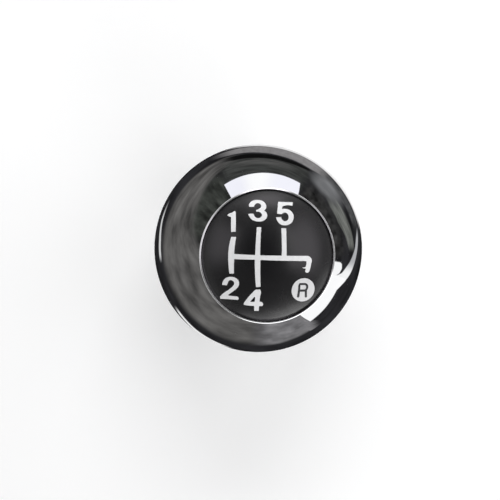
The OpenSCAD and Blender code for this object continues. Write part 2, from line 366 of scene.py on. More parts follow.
def finished_piece(bm, name, material, sharp):
    """Makes an object from a mesh, shaded smooth up to an angle between faces."""
    bmesh.ops.recalc_face_normals(bm, faces=bm.faces[:])
    mesh = bpy.data.meshes.new(name)
    bm.to_mesh(mesh)
    bm.free()
    mesh.shade_smooth()
    mesh.set_sharp_from_angle(angle=math.radians(sharp))
    mesh.materials.append(material)
    piece = bpy.data.objects.new(name, mesh)
    bpy.context.scene.collection.objects.link(piece)
    return piece


def added_piece(piece, slot_name, *nodes):
    """Hangs a piece on the knob's body and hides the packed parts that it stands for; the slot name is not
    used.
    """
    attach(piece, BODY)
    if nodes:
        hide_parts(*nodes)


def cut_away(piece, cutter):
    """Cuts one mesh out of another and removes the cutter."""
    cut = piece.modifiers.new("cut", "BOOLEAN")
    cut.operation = "DIFFERENCE"
    cut.solver = "EXACT"
    cut.object = cutter
    bpy.context.view_layer.update()
    depsgraph = bpy.context.evaluated_depsgraph_get()
    result = bpy.data.meshes.new_from_object(piece.evaluated_get(depsgraph))
    if len(result.polygons) < len(piece.data.polygons) // 2:
        raise RuntimeError("cutting " + piece.name + " lost most of its faces")
    piece.modifiers.clear()
    old = piece.data
    piece.data = result
    bpy.data.meshes.remove(old)
    bpy.data.objects.remove(cutter)


# Outlines of the pattern, in millimetres on the disc, where a third number marks a smooth point

GATE = [
    (-9.33, 4.79), (-8.14, 4.81), (-8.44, 2.89, 1), (-8.57, 0.66), (-3.55, 0.52), (-3.40, 4.19, 1),
    (-3.18, 7.29), (-2.12, 7.31), (-2.31, 4.21, 1), (-2.34, 0.49), (2.96, 0.47), (2.91, 4.27, 1),
    (2.79, 7.11), (3.99, 7.12), (4.08, 4.28, 1), (4.16, 0.44), (9.52, 0.38), (10.31, -0.05, 1),
    (10.66, -0.78, 1), (10.55, -1.52, 1), (10.12, -3.45), (9.61, -3.83, 1), (8.97, -3.42),
    (9.07, -2.78, 1), (8.52, -2.70, 1), (8.31, -2.46), (8.98, -2.40, 1), (9.26, -1.63, 1),
    (9.24, -0.91), (-2.27, -0.63), (-2.19, -4.08, 1), (-1.98, -7.31), (-3.09, -7.38), (-3.45, -4.11, 1),
    (-3.60, -0.60), (-8.57, -0.59), (-8.58, -2.29, 1), (-8.51, -4.17), (-9.60, -4.24),
    (-9.94, -1.36, 1), (-9.98, 0.84, 1), (-9.77, 2.84, 1),
]
NUMBERS = {
    "number_1": [[
        (-9.41, 5.95), (-9.38, 9.51), (-9.81, 9.63, 1), (-10.20, 9.87), (-10.20, 10.06), (-9.74, 10.40, 1),
        (-9.06, 10.66, 1), (-8.57, 11.04), (-8.20, 10.90), (-8.17, 9.50, 1), (-8.26, 5.99),
    ]],
    "number_2": [[
        (-11.25, -7.16), (-11.22, -6.61, 1), (-10.85, -5.78, 1), (-10.16, -5.20, 1), (-9.29, -4.99, 1),
        (-8.34, -5.10, 1), (-7.57, -5.60, 1), (-7.18, -6.46, 1), (-7.30, -7.30, 1), (-7.79, -8.00, 1),
        (-8.67, -8.80, 1), (-9.68, -9.62), (-9.51, -9.80), (-7.50, -9.92), (-7.12, -10.35, 1),
        (-7.29, -10.85), (-9.37, -10.78, 1), (-11.58, -10.80), (-11.61, -10.12), (-11.06, -9.45, 1),
        (-9.49, -8.15, 1), (-8.69, -7.32, 1), (-8.40, -6.59, 1), (-8.70, -6.06, 1), (-9.26, -5.84, 1),
        (-9.69, -6.11, 1), (-9.93, -6.71, 1), (-10.11, -7.23),
    ]],
    "number_3": [[
        (-4.97, 12.07), (-5.06, 12.54, 1), (-4.49, 13.37, 1), (-2.99, 13.83, 1), (-1.43, 13.43, 1),
        (-0.77, 12.40, 1), (-0.92, 11.78, 1), (-1.32, 11.28), (-0.81, 10.83, 1), (-0.60, 10.14, 1),
        (-1.00, 9.22, 1), (-2.74, 8.61, 1), (-4.35, 9.04, 1), (-5.10, 9.91, 1), (-5.29, 10.34),
        (-4.60, 10.50, 1), (-3.89, 10.43), (-3.65, 9.85, 1), (-2.89, 9.49, 1), (-2.17, 9.77, 1),
        (-1.93, 10.26, 1), (-2.25, 10.75, 1), (-3.29, 10.94), (-3.37, 11.43), (-2.46, 11.81, 1),
        (-2.07, 12.34, 1), (-2.31, 12.83, 1), (-2.90, 13.00, 1), (-3.46, 12.75, 1), (-3.78, 12.12),
    ]],
    "number_4": [
        [
            (-3.19, -8.01), (-2.07, -7.95), (-1.83, -8.40, 1), (-1.93, -9.78, 1), (-1.99, -11.10),
            (-1.39, -11.24, 1), (-1.08, -11.71, 1), (-1.25, -12.28), (-2.03, -12.29), (-2.04, -13.58),
            (-3.18, -13.60), (-3.31, -12.26), (-4.64, -12.24, 1), (-5.82, -12.04), (-5.83, -11.60),
            (-4.94, -10.14, 1),
        ],
        [(-3.34, -9.87), (-3.18, -10.05), (-3.22, -11.16), (-4.31, -11.20)],
    ],
    "number_5": [[
        (2.14, 13.45), (5.88, 13.41), (5.76, 12.44), (3.60, 12.44, 1), (3.23, 12.27, 1), (3.12, 11.72),
        (4.07, 11.80, 1), (5.22, 11.36, 1), (5.90, 10.42, 1), (5.99, 9.74, 1), (5.57, 8.63, 1),
        (4.70, 7.96, 1), (3.67, 7.76, 1), (2.58, 8.03, 1), (1.82, 8.82, 1), (1.50, 9.73), (2.85, 9.82),
        (3.12, 9.14, 1), (3.81, 8.79, 1), (4.42, 9.13, 1), (4.64, 9.83, 1), (4.42, 10.51, 1),
        (3.84, 10.82, 1), (3.30, 10.70, 1), (2.96, 10.44), (1.77, 10.57),
    ]],
}
REVERSE_LETTER = [
    [
        (7.31, -9.89), (7.58, -10.05, 1), (7.85, -9.91), (7.93, -8.57), (9.26, -8.56), (9.38, -9.98),
        (9.63, -10.12, 1), (9.87, -9.98), (9.72, -8.26), (10.01, -7.49, 1), (9.79, -6.79, 1),
        (9.24, -6.47, 1), (8.95, -6.46, 1), (8.05, -6.46, 1), (7.76, -6.49, 1), (7.58, -6.76, 1),
        (7.49, -8.05, 1),
    ],
    [
        (7.93, -6.86), (8.57, -6.86, 1), (9.18, -6.88, 1), (9.53, -7.29, 1), (9.47, -7.84, 1),
        (9.22, -8.11), (7.93, -8.08),
    ],
]
SPOT_CENTRE = (8.79, -8.17)


def traced(outline, rounding, grow=0.0, steps=7):
    """Closed line through an outline's points, curved at smooth points and slightly round at corners,
    and moved outward by a small growth."""
    count = len(outline)
    points = [Vector(p[:2]) for p in outline]
    smooth = [len(p) > 2 for p in outline]

    def heading(i):
        before = points[i] - points[i - 1]
        after = points[(i + 1) % count] - points[i]
        return (before.normalized() * after.length + after.normalized() * before.length).normalized()

    line = []
    for i in range(count):
        j = (i + 1) % count
        chord = points[j] - points[i]
        line.append((points[i], not smooth[i]))
        if not smooth[i] and not smooth[j]:
            continue
        leave = heading(i) if smooth[i] else None
        reach = heading(j) if smooth[j] else None
        if leave is None:
            leave = (2 * chord.normalized() - reach).normalized()
        if reach is None:
            reach = (2 * chord.normalized() - leave).normalized()
        for k in range(1, steps):
            t = k / steps
            point = (points[i] * (2 * t ** 3 - 3 * t ** 2 + 1)
                     + leave * chord.length * (t ** 3 - 2 * t ** 2 + t)
                     + points[j] * (3 * t ** 2 - 2 * t ** 3) + reach * chord.length * (t ** 3 - t ** 2))
            line.append((point, False))

    rounded = []
    total = len(line)
    for i, (point, corner) in enumerate(line):
        if not corner:
            rounded.append(point)
            continue
        before = line[i - 1][0] - point
        after = line[(i + 1) % total][0] - point
        first = point + before.normalized() * min(rounding, EDGE_SHARE * before.length)
        last = point + after.normalized() * min(rounding, EDGE_SHARE * after.length)
        rounded += corner_curve(first, point, last, CORNER_STEPS)
    if not grow:
        return rounded
    total = len(rounded)
    area = sum(rounded[i - 1].cross(rounded[i]) for i in range(total))
    side = grow if area > 0 else -grow
    moved = []
    for i, point in enumerate(rounded):
        run = (rounded[(i + 1) % total] - rounded[i - 1]).normalized()
        moved.append(point + Vector((run.y, -run.x)) * side)
    return moved


def circle_line(centre, radius, steps=72):
    """Closed line round a circle."""
    turns = [2 * math.pi * i / steps for i in range(steps)]
    return [Vector((centre[0] + radius * math.cos(t), centre[1] + radius * math.sin(t))) for t in turns]


def on_dome(loops, low, high):
    """Closed mesh over lines in millimetres, between two heights in metres from the disc's dome."""
    bm = bmesh.new()
    flat = [[Vector((p.x, p.y, 0.0)) for p in loop] for loop in loops]
    corners = [bm.verts.new(p * MM) for loop in flat for p in loop]
    for triangle in tessellate_polygon(flat):
        bm.faces.new([corners[i] for i in triangle])
    step = marks().grid
    for axis in (0, 1):
        values = [v.co[axis] for v in bm.verts]
        across = Vector((1, 0, 0)) if axis == 0 else Vector((0, 1, 0))
        for k in range(math.floor(min(values) / step) + 1, math.ceil(max(values) / step)):
            bmesh.ops.bisect_plane(bm, geom=bm.verts[:] + bm.edges[:] + bm.faces[:], dist=NEARLY_ZERO,
                                   plane_co=across * (k * step), plane_no=across)
    bmesh.ops.recalc_face_normals(bm, faces=bm.faces[:])
    raised = bmesh.ops.extrude_face_region(bm, geom=bm.faces[:], use_keep_orig=True)["geom"]
    upper = {v for v in raised if isinstance(v, bmesh.types.BMVert)}
    radius = shape().dome_radius
    base = levels()["dome"]
    for v in bm.verts:
        reach = radius + (high if v in upper else low)
        v.co.z = base + math.sqrt(reach ** 2 - v.co.x ** 2 - v.co.y ** 2)
    return bm


# Effects that the finishes share

def add_node(tree, kind, inputs=None, **settings):
    """Adds a shader node with its settings, and gives its inputs their values or links."""
    made = tree.nodes.new("ShaderNode" + kind)
    for label, value in settings.items():
        setattr(made, label, value)
    for label, given in (inputs or {}).items():
        if isinstance(given, bpy.types.NodeSocket):
            tree.links.new(given, made.inputs[label])
        else:
            made.inputs[label].default_value = given
    return made


def effect_group(name, inputs, result, kind):
    """New shader node group with its input sockets and one result, and the sockets inside it."""
    group = bpy.data.node_groups.new(name, "ShaderNodeTree")
    for label, socket_kind, default in inputs:
        socket = group.interface.new_socket(name=label, in_out="INPUT", socket_type=socket_kind)
        socket.default_value = default
    group.interface.new_socket(name=result, in_out="OUTPUT", socket_type=kind)
    source = group.nodes.new("NodeGroupInput")
    target = group.nodes.new("NodeGroupOutput")
    return group, source.outputs, target.inputs[result]


def noise(group, scale, detail, roughness=0.5, distortion=0.0):
    """Noise over the object's own coordinates, scaled by an input of the group."""
    coordinates = add_node(group, "TexCoord")
    texture = add_node(group, "TexNoise", {
        "Vector": coordinates.outputs["Object"], "Scale": scale, "Detail": detail,
        "Roughness": roughness, "Distortion": distortion})
    return texture.outputs["Fac"]


def tone_drift():
    """Effect: a colour that drifts between two tones."""
    found = bpy.data.node_groups.get("Tone drift")
    if found:
        return found
    group, given, result = effect_group(
        "Tone drift",
        [("Main", "NodeSocketColor", (0.5, 0.5, 0.5, 1)), ("Second", "NodeSocketColor", (0.4, 0.4, 0.4, 1)),
         ("Scale", "NodeSocketFloat", 120.0)],
        "Color", "NodeSocketColor")
    patches = noise(group, given["Scale"], detail=4.0, roughness=0.55)
    spread = add_node(group, "MapRange", {"Value": patches, "From Min": 0.35, "From Max": 0.7})
    mix = add_node(group, "Mix", {
        "Factor": spread.outputs["Result"], "A": given["Main"], "B": given["Second"]}, data_type="RGBA")
    group.links.new(mix.outputs["Result"], result)
    return group


def handling_haze():
    """Effect: roughness that grows in soft patches where the knob is handled."""
    found = bpy.data.node_groups.get("Handling haze")
    if found:
        return found
    group, given, result = effect_group(
        "Handling haze",
        [("Clean", "NodeSocketFloat", 0.3), ("Hazed", "NodeSocketFloat", 0.4),
         ("Scale", "NodeSocketFloat", 90.0)],
        "Roughness", "NodeSocketFloat")
    patches = noise(group, given["Scale"], detail=5.0, roughness=0.6, distortion=0.4)
    spread = add_node(group, "MapRange", {"Value": patches, "From Min": 0.4, "From Max": 0.75,
                                          "To Min": given["Clean"], "To Max": given["Hazed"]})
    group.links.new(spread.outputs["Result"], result)
    return group


def fine_grain():
    """Effect: height of a fine grain over a slow waviness."""
    found = bpy.data.node_groups.get("Fine grain")
    if found:
        return found
    group, given, result = effect_group(
        "Fine grain",
        [("Grain scale", "NodeSocketFloat", 2500.0), ("Wave scale", "NodeSocketFloat", 80.0),
         ("Grain share", "NodeSocketFloat", 0.5)],
        "Height", "NodeSocketFloat")
    grain = noise(group, given["Grain scale"], detail=2.0)
    wave = noise(group, given["Wave scale"], detail=1.0)
    mix = add_node(group, "Mix", {"Factor": given["Grain share"], "A": wave, "B": grain}, data_type="FLOAT")
    group.links.new(mix.outputs["Result"], result)
    return group


def surface_finish(name, tones, drift, rough, haze, grain, relief, extra=()):
    """Material from the shared effects: two tones that drift at a scale, a roughness range whose patches
    have a scale, and a grain of (scale, wave scale, share) that stands out by a relief in metres, with
    extra (input, value) pairs."""
    found = bpy.data.materials.get(name)
    if found:
        return found
    material = bpy.data.materials.new(name)
    material.use_nodes = True
    tree = material.node_tree
    shader = tree.nodes["Principled BSDF"]
    for label, value in extra:
        shader.inputs[label].default_value = value
    tone = add_node(tree, "Group", {"Main": (*tones[0], 1), "Second": (*tones[1], 1), "Scale": drift},
                    node_tree=tone_drift(), location=(-500, 300))
    patches = add_node(tree, "Group", {"Clean": rough[0], "Hazed": rough[1], "Scale": haze},
                       node_tree=handling_haze(), location=(-500, 60))
    height = add_node(tree, "Group", dict(zip(("Grain scale", "Wave scale", "Grain share"), grain)),
                      node_tree=fine_grain(), location=(-500, -180))
    bump = add_node(tree, "Bump", {"Strength": 1.0, "Distance": relief, "Height": height.outputs["Height"]},
                    location=(-250, -180))
    tree.links.new(tone.outputs["Color"], shader.inputs["Base Color"])
    tree.links.new(patches.outputs["Roughness"], shader.inputs["Roughness"])
    tree.links.new(bump.outputs["Normal"], shader.inputs["Normal"])
    return material


def tinted(rgb, factor):
    """Colour times a factor."""
    return tuple(c * factor for c in rgb)


def with_shade(rgb, factor):
    """Colour and a second tone of it, lighter or darker by a factor."""
    return rgb, tinted(rgb, factor)


def chrome_finish():
    colours = finish_colours()
    return surface_finish("bright_chrome", (colours.chrome, colours.chrome_shade), drift=70.0,
                          rough=(0.025, 0.06), haze=110.0, grain=(1800.0, 55.0, 0.06), relief=0.012 * MM,
                          extra=[("Metallic", 1.0)])


def disc_finish():
    colours = finish_colours()
    return surface_finish("satin_black_disc", (colours.disc, colours.disc_shade), drift=160.0,
                          rough=(0.24, 0.29), haze=140.0, grain=(3200.0, 90.0, 0.5), relief=0.008 * MM,
                          extra=[("Specular IOR Level", 0.55)])


def white_paint(name, factor):
    """White of the pattern, darkened by a factor."""
    colours = finish_colours()
    tones = (tinted(colours.white, factor), tinted(colours.white_shade, factor))
    return surface_finish(name, tones, drift=900.0, rough=(0.42, 0.55), haze=500.0,
                          grain=(3000.0, 700.0, 0.4), relief=0.02 * MM)


def marking_finish():
    return white_paint("marking_white_paint", 1.0)


def spot_finish():
    return white_paint("spot_white_paint", 0.85)


def letter_finish():
    return surface_finish("reverse_letter_print", with_shade(finish_colours().letter, 1.7), drift=1200.0,
                          rough=(0.4, 0.5), haze=500.0, grain=(3000.0, 700.0, 0.4), relief=0.01 * MM)


def core_finish():
    return surface_finish("core_moulded_black", with_shade(finish_colours().core, 1.5), drift=120.0,
                          rough=(0.38, 0.52), haze=160.0, grain=(1700.0, 200.0, 0.6), relief=0.03 * MM)


def collar_finish():
    return surface_finish("collar_grained_black", with_shade(finish_colours().collar, 1.6), drift=260.0,
                          rough=(0.46, 0.6), haze=180.0, grain=(1500.0, 240.0, 0.75), relief=0.06 * MM)


def sleeve_finish():
    return surface_finish("sleeve_natural_nylon", with_shade(finish_colours().sleeve, 0.86), drift=130.0,
                          rough=(0.34, 0.48), haze=150.0, grain=(1400.0, 160.0, 0.5), relief=0.03 * MM,
                          extra=[("Subsurface Weight", 0.12)])


def steel_finish():
    return surface_finish("spring_drawn_steel", with_shade(finish_colours().steel, 0.8), drift=400.0,
                          rough=(0.2, 0.34), haze=500.0, grain=(2600.0, 300.0, 0.6), relief=0.01 * MM,
                          extra=[("Metallic", 1.0)])


def rubber_finish():
    return surface_finish("pad_matt_rubber", with_shade(finish_colours().rubber, 1.8), drift=300.0,
                          rough=(0.72, 0.85), haze=200.0, grain=(1600.0, 260.0, 0.7), relief=0.05 * MM)


# Operators

class GEARKNOB_OT_chrome_ball(bpy.types.Operator):
    """Turns the plated ball with its lip, seat and foot"""

    bl_idname = "gear_knob.chrome_ball"
    bl_label = "Chrome ball"

    def execute(self, context):
        knob, at = shape(), levels()
        centre = (0.0, at["middle"])
        foot_angle = math.pi - math.asin(knob.foot_radius / knob.ball_radius)
        foot_angle -= knob.edge_break / knob.ball_radius
        lip_angle = math.asin((knob.seat_radius + knob.lip_land) / knob.ball_radius)
        land_angle = lip_angle + knob.lip_ease / knob.ball_radius
        inner = knob.ball_radius - knob.ball_wall
        ledge_low = at["ledge"] - knob.ledge
        ring_top = at["foot"] + knob.foot_ring
        high_angle = math.acos((ledge_low - at["middle"]) / inner)
        low_angle = math.acos((ring_top - at["middle"]) / inner)
        profile = arc(centre, knob.ball_radius, foot_angle, land_angle, BALL_STEPS)
        profile += self.lip_points(lip_angle)
        profile += [(knob.seat_radius, at["ledge"]), (knob.opening_radius, at["ledge"]),
                    (knob.opening_radius, ledge_low)]
        profile += arc(centre, inner, high_angle, low_angle, BALL_INNER_STEPS)
        profile += [(knob.opening_radius, ring_top), (knob.opening_radius, at["foot"]),
                    (knob.foot_radius - knob.edge_break, at["foot"])]
        bm = bmesh.new()
        turned(bm, profile, knob.ball_turns)
        piece = finished_piece(bm, "chrome_ball", chrome_finish(), TURNED_SHARP)
        added_piece(piece, "chrome_plating", "ball_shell")
        return {"FINISHED"}

    def lip_points(self, lip_angle):
        """Narrow land that rises from the ball's outer surface to the lip's rounded inner edge."""
        knob = shape()
        soft = knob.lip_soft
        start_r = knob.ball_radius * math.sin(lip_angle)
        start_z = levels()["middle"] + knob.ball_radius * math.cos(lip_angle)
        rise = math.tan(knob.lip_slope)
        top = start_z + (knob.lip_land - soft) * rise
        points = [(start_r, start_z), (start_r - soft / 2, start_z + soft / 2 * rise)]
        points += arc((knob.seat_radius + soft, top - soft), soft, knob.lip_slope, -math.pi / 2, LIP_STEPS)
        return points


class GEARKNOB_OT_black_disc(bpy.types.Operator):
    """Turns the domed black disc with its skirt, clips, key and channels"""

    bl_idname = "gear_knob.black_disc"
    bl_label = "Black disc"

    def execute(self, context):
        knob, mark, at = shape(), marks(), levels()
        dome, ledge = at["dome"], at["ledge"]
        round_r = knob.disc_radius - knob.rim_round
        round_z = dome + math.sqrt((knob.dome_radius - knob.rim_round) ** 2 - round_r ** 2)
        rim_angle = math.asin(round_r / (knob.dome_radius - knob.rim_round))
        inner = knob.dome_radius - knob.disc_wall
        skirt_r = knob.disc_radius - knob.skirt
        profile = arc((0.0, dome), knob.dome_radius, 0.0, rim_angle, DOME_STEPS)
        profile += arc((round_r, round_z), knob.rim_round, rim_angle, math.pi / 2, RIM_STEPS)[1:]
        profile += [(knob.disc_radius, ledge), (skirt_r, ledge)]
        profile += arc((0.0, dome), inner, math.asin(skirt_r / inner), 0.0, DOME_INNER_STEPS)
        bm = bmesh.new()
        turned(bm, profile, knob.disc_turns)
        lower_right = Vector((1.0, -1.0)).normalized()
        for vert in bm.verts:
            share = min(max((vert.co.xy.length - skirt_r) / knob.skirt, 0.0), 1.0)
            vert.co.xy += lower_right * knob.rim_shift * share
        piece = finished_piece(bm, "black_disc", disc_finish(), TURNED_SHARP)
        for loops in (gate_loops(), spot_loops()):
            channel = on_dome(loops, -mark.channel_depth, mark.channel_depth)
            cut_away(piece, finished_piece(channel, "cutter", disc_finish(), TURNED_SHARP))
        self.add_clips(piece, skirt_r)
        piece.data.set_sharp_from_angle(angle=math.radians(TURNED_SHARP))
        added_piece(piece, "disc_black", "pattern_disc")
        return {"FINISHED"}

    def add_clips(self, piece, skirt_r):
        """Adds the three clip legs and the key under the disc."""
        knob, at = shape(), levels()
        low = float(DISC_LOW[2])
        top = at["dome"] + math.sqrt((knob.dome_radius - knob.disc_wall / 2) ** 2 - knob.clip_radius ** 2)
        inside, outside = knob.clip_radius - knob.clip_wall, knob.clip_radius
        hook = outside + knob.hook_reach
        leg = [(inside, top), (inside, low), (outside, low), (hook, low + knob.hook_start),
               (hook, low + knob.hook_end), (outside, low + knob.hook_end), (outside, top)]
        bm = bmesh.new()
        bm.from_mesh(piece.data)
        for bearing in CLIP_BEARINGS:
            upright_prism(bm, leg, knob.clip_width, math.radians(bearing))
        key_out = skirt_r + knob.skirt * knob.key_share
        key_top, key_low = at["ledge"] + knob.edge_break, at["ledge"] - knob.key_drop
        key = [(skirt_r, key_top), (skirt_r, key_low), (key_out, key_low), (key_out, key_top)]
        upright_prism(bm, key, knob.key_width, math.radians(KEY_BEARING))
        bm.to_mesh(piece.data)
        bm.free()
        piece.data.shade_smooth()


def gate_loops():
    """Outline of the gate's lines."""
    return [traced(GATE, marks().corner_round / MM)]


def spot_loops():
    """Outline of the round spot under the reverse letter."""
    return [circle_line(SPOT_CENTRE, marks().spot_radius / MM)]


class GEARKNOB_OT_gate_filling(bpy.types.Operator):
    """Fills the channels of the gate and of the reverse spot with white"""

    bl_idname = "gear_knob.gate_filling"
    bl_label = "White gate and spot"

    def execute(self, context):
        mark = marks()
        lines = on_dome(gate_loops(), -mark.channel_depth, mark.filling_proud)
        piece = finished_piece(lines, "gate_filling", marking_finish(), PRINT_SHARP)
        added_piece(piece, "marking_white", "gate_lines")
        spot = on_dome(spot_loops(), -mark.channel_depth, mark.filling_proud)
        piece = finished_piece(spot, "spot_filling", spot_finish(), PRINT_SHARP)
        added_piece(piece, "marking_white", "reverse_spot")
        return {"FINISHED"}


class GEARKNOB_OT_gear_numbers(bpy.types.Operator):
    """Prints the numbers 1 to 5 on the disc and the reverse letter on its spot"""

    bl_idname = "gear_knob.gear_numbers"
    bl_label = "Gear numbers"

    def execute(self, context):
        mark = marks()
        for name, outlines in NUMBERS.items():
            loops = self.grown(outlines, mark.corner_round, -mark.number_trim)
            number = on_dome(loops, -mark.print_root, mark.print_proud)
            added_piece(finished_piece(number, name, marking_finish(), PRINT_SHARP), "marking_white")
        loops = self.grown(REVERSE_LETTER, mark.letter_round, mark.letter_growth)
        letter = on_dome(loops, 0.0, mark.letter_proud)
        added_piece(finished_piece(letter, "reverse_letter", letter_finish(), PRINT_SHARP), "disc_black")
        return {"FINISHED"}

    def grown(self, outlines, rounding, growth):
        """Lines of a sign whose strokes are widened by a growth, so that its hole gets smaller."""
        growths = (growth / MM, -growth / MM)
        return [traced(outline, rounding / MM, grow) for outline, grow in zip(outlines, growths)]


class GEARKNOB_OT_collar_ring(bpy.types.Operator):
    """Turns the grained collar with its tie groove and broken edges"""

    bl_idname = "gear_knob.collar_ring"
    bl_label = "Collar ring"

    def execute(self, context):
        knob = shape()
        soft = knob.edge_break
        top_r, top = float(COLLAR_HIGH[0]), float(COLLAR_HIGH[2])
        bore, pocket, slant = knob.collar_bore, knob.pocket_radius, knob.collar_slant
        low_r = top_r - knob.collar_taper
        groove_r = low_r - knob.groove_depth
        groove_low = knob.groove_low
        groove_top = groove_low + knob.groove_width
        seat = top - knob.pocket_depth
        corners = [
            (bore, 0.0, soft), (low_r - slant, 0.0, soft), (low_r, slant, soft), (low_r, groove_low, soft),
            (groove_r, groove_low, soft), (groove_r, groove_top, soft), (low_r, groove_top, soft),
            (top_r, seat + slant, 2 * soft), (top_r, top, soft), (pocket, top, soft), (pocket, seat, 0.0),
            (bore, seat, 0.0),
        ]
        bm = bmesh.new()
        turned(bm, broken_edges(corners), knob.collar_turns)
        piece = finished_piece(bm, "collar_ring", collar_finish(), PRINT_SHARP)
        added_piece(piece, "collar_black", "base_collar")
        return {"FINISHED"}


class GEARKNOB_OT_inner_fittings(bpy.types.Operator):
    """Gives the core, the sleeve, the spring rings and the pad their finishes"""

    bl_idname = "gear_knob.inner_fittings"
    bl_label = "Inner fittings"

    def execute(self, context):
        fittings = {"core_moulding": core_finish(), "grip_sleeve": sleeve_finish(),
                    "spring_rings": steel_finish(), "stop_pad": rubber_finish()}
        for name, material in fittings.items():
            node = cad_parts[name]
            if not node.material_slots:
                raise RuntimeError(name + " has no material slot")
            for place in node.material_slots:
                place.material = material
        return {"FINISHED"}


# Studio

def view_axes():
    """Directions to the camera, to its right and up, with the knob's ball in the middle."""
    stage = studio()
    lean = math.sin(stage.camera_tilt)
    toward = Vector((math.cos(stage.camera_bearing) * lean, math.sin(stage.camera_bearing) * lean,
                     math.cos(stage.camera_tilt)))
    upright = (Vector((0, 1, 0)) - toward * toward.y).normalized()
    aside = upright.cross(toward)
    up = upright * math.cos(stage.camera_roll) - aside * math.sin(stage.camera_roll)
    return toward, up.cross(toward), up


def layer_radius(layer):
    """Radius of the round wall at a layer, as each layer stands a little inside the one before."""
    return studio().wall_radius * (1 - LAYER_STEP * layer)


def mirrored_point(bearing, share, layer):
    """Point on the round wall, or on the floor inside it, that the ball mirrors at a screen angle
    and a share of its outline's radius."""
    toward, right, up = view_axes()
    stage = studio()
    radius, distance = shape().ball_radius, stage.camera_distance
    wall = layer_radius(layer)
    low = LOWEST_PANEL + LAYER_RISE * layer
    seen = math.atan(share * math.tan(math.asin(radius / distance)))
    tilt = math.asin(min(1.0, distance * math.sin(seen) / radius)) - seen
    outward = right * math.cos(bearing) + up * math.sin(bearing)
    middle = Vector((0, 0, levels()["middle"]))
    start = middle + (toward * math.cos(tilt) + outward * math.sin(tilt)) * radius
    ray = toward * math.cos(2 * tilt + seen) + outward * math.sin(2 * tilt + seen)
    run = ray.x ** 2 + ray.y ** 2
    lean = start.x * ray.x + start.y * ray.y
    gap = start.x ** 2 + start.y ** 2 - wall ** 2
    reach = (-lean + math.sqrt(lean * lean - run * gap)) / run if run > NEARLY_UPRIGHT else FAR_AWAY
    if ray.z < 0:
        reach = min(reach, (low - start.z) / ray.z)
    point = start + ray * reach
    point.z = min(point.z, stage.wall_top)
    return point


def ring_point(bearing, share, layer):
    """Point on the round wall above the panels, at a bearing and a share of the ring's height."""
    stage = studio()
    wall = layer_radius(layer)
    height = stage.wall_top - RING_OVERLAP + (stage.ring_top - stage.wall_top) * share
    return Vector((wall * math.cos(bearing), wall * math.sin(bearing), height))


def lip_share(bearing, layer):
    """Share of the ring's height that the lip's land mirrors at a bearing, on a layer of the ring."""
    knob, stage = shape(), studio()
    around = Vector((math.cos(bearing), math.sin(bearing), 0.0))
    normal = around * math.sin(knob.lip_slope) + Vector((0, 0, math.cos(knob.lip_slope)))
    start = around * (knob.seat_radius + knob.lip_land / 2) + Vector((0, 0, levels()["lip"]))
    camera = view_axes()[0] * stage.camera_distance + Vector((0, 0, levels()["middle"]))
    toward = (camera - start).normalized()
    ray = normal * 2 * normal.dot(toward) - toward
    out = ray.dot(around)
    height = start.z + (layer_radius(layer) - start.dot(around)) * ray.z / out
    return (height - stage.wall_top) / (stage.ring_top - stage.wall_top)


def panel_glow(name, color, value, soft, streaks):
    """Emission of a panel, with soft edges and faint streaks along it."""
    material = bpy.data.materials.new(name)
    material.use_nodes = True
    tree = material.node_tree
    tree.nodes.clear()
    place = add_node(tree, "TexCoord").outputs["UV"]
    split = add_node(tree, "SeparateXYZ", {"Vector": place})
    mask = None
    for axis, widths in zip("XY", soft):
        for start, width in zip((0.0, 1.0), widths):
            if width <= 0:
                continue
            end = 1.0 - width if start else width
            edge = add_node(tree, "MapRange", {
                "Value": split.outputs[axis], "From Min": start, "From Max": end},
                interpolation_type="SMOOTHSTEP")
            if mask is None:
                mask = edge.outputs["Result"]
            else:
                both = add_node(tree, "Math", {0: mask, 1: edge.outputs["Result"]}, operation="MULTIPLY")
                mask = both.outputs[0]
    stretch = add_node(tree, "Mapping", {"Vector": place, "Scale": (*streaks[1:], 1.0)})
    texture = add_node(tree, "TexNoise", {"Vector": stretch.outputs["Vector"], "Scale": 1.0, "Detail": 3.0})
    spread = add_node(tree, "MapRange", {
        "Value": texture.outputs["Fac"], "From Min": 0.3, "From Max": 0.7,
        "To Min": value * (1 - streaks[0]), "To Max": value * (1 + streaks[0])})
    emission = add_node(tree, "Emission", {"Color": (*color, 1), "Strength": spread.outputs["Result"]})
    shown = emission.outputs["Emission"]
    if mask is not None:
        clear = add_node(tree, "BsdfTransparent")
        mix = add_node(tree, "MixShader", {"Fac": mask, 1: clear.outputs["BSDF"], 2: shown})
        shown = mix.outputs["Shader"]
    add_node(tree, "OutputMaterial", {"Surface": shown})
    material.cycles.emission_sampling = "NONE"
    return material


